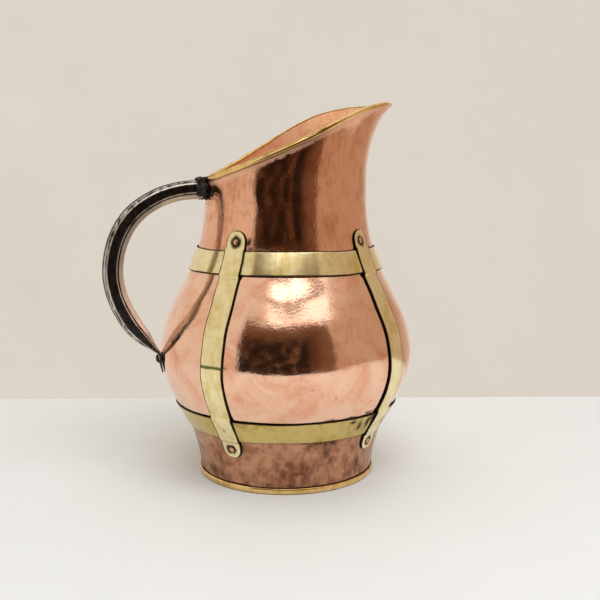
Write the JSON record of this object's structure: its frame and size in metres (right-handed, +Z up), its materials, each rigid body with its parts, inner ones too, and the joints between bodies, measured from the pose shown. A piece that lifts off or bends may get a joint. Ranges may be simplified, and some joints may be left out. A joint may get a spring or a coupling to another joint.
{
  "type": "copper water jug",
  "caption": "Round-bellied copper water jug with a flared spout, slanted brass-bound mouth, brass hoops and riveted straps, and a curved iron handle.",
  "frame": {"origin": "on the ground, in the middle of the jug's footprint box; the vessel's own axis stands 26 mm from it towards the spout", "axes": "+Z up, +X towards the spout, -X towards the handle, -Y the side seen first"},
  "size_m": [0.3, 0.2472, 0.3618],
  "materials": {
    "copper_sheet": "hand-planished and polished copper sheet with brown tarnish",
    "copper_rivet": "copper rivet, dark round its head",
    "brass": "polished rolled brass strip with darkened edges",
    "wrought_iron": "hammered and blackened wrought iron, rubbed bright on its ridges",
    "solder": "lumpy blackened solder"
  },
  "bodies": {
    "root": {"base_plate": "copper_sheet", "foot_skirt": "copper_sheet", "belly_shell": "copper_sheet", "neck_and_spout": "copper_sheet", "foot_ring": "brass", "rim_binding": "brass", "lower_hoop": "brass", "upper_hoop": "brass", "strap_front_spout_side": "brass", "upper_rivet_front_spout_side": "copper_rivet", "lower_rivet_front_spout_side": "copper_rivet", "strap_front_handle_side": "brass", "upper_rivet_front_handle_side": "copper_rivet", "lower_rivet_front_handle_side": "copper_rivet", "strap_back_spout_side": "brass", "upper_rivet_back_spout_side": "copper_rivet", "lower_rivet_back_spout_side": "copper_rivet", "strap_back_handle_side": "brass", "upper_rivet_back_handle_side": "copper_rivet", "lower_rivet_back_handle_side": "copper_rivet", "handle": "wrought_iron", "handle_collar": "solder", "tail_rivet": "wrought_iron"}
  },
  "joints": []
}
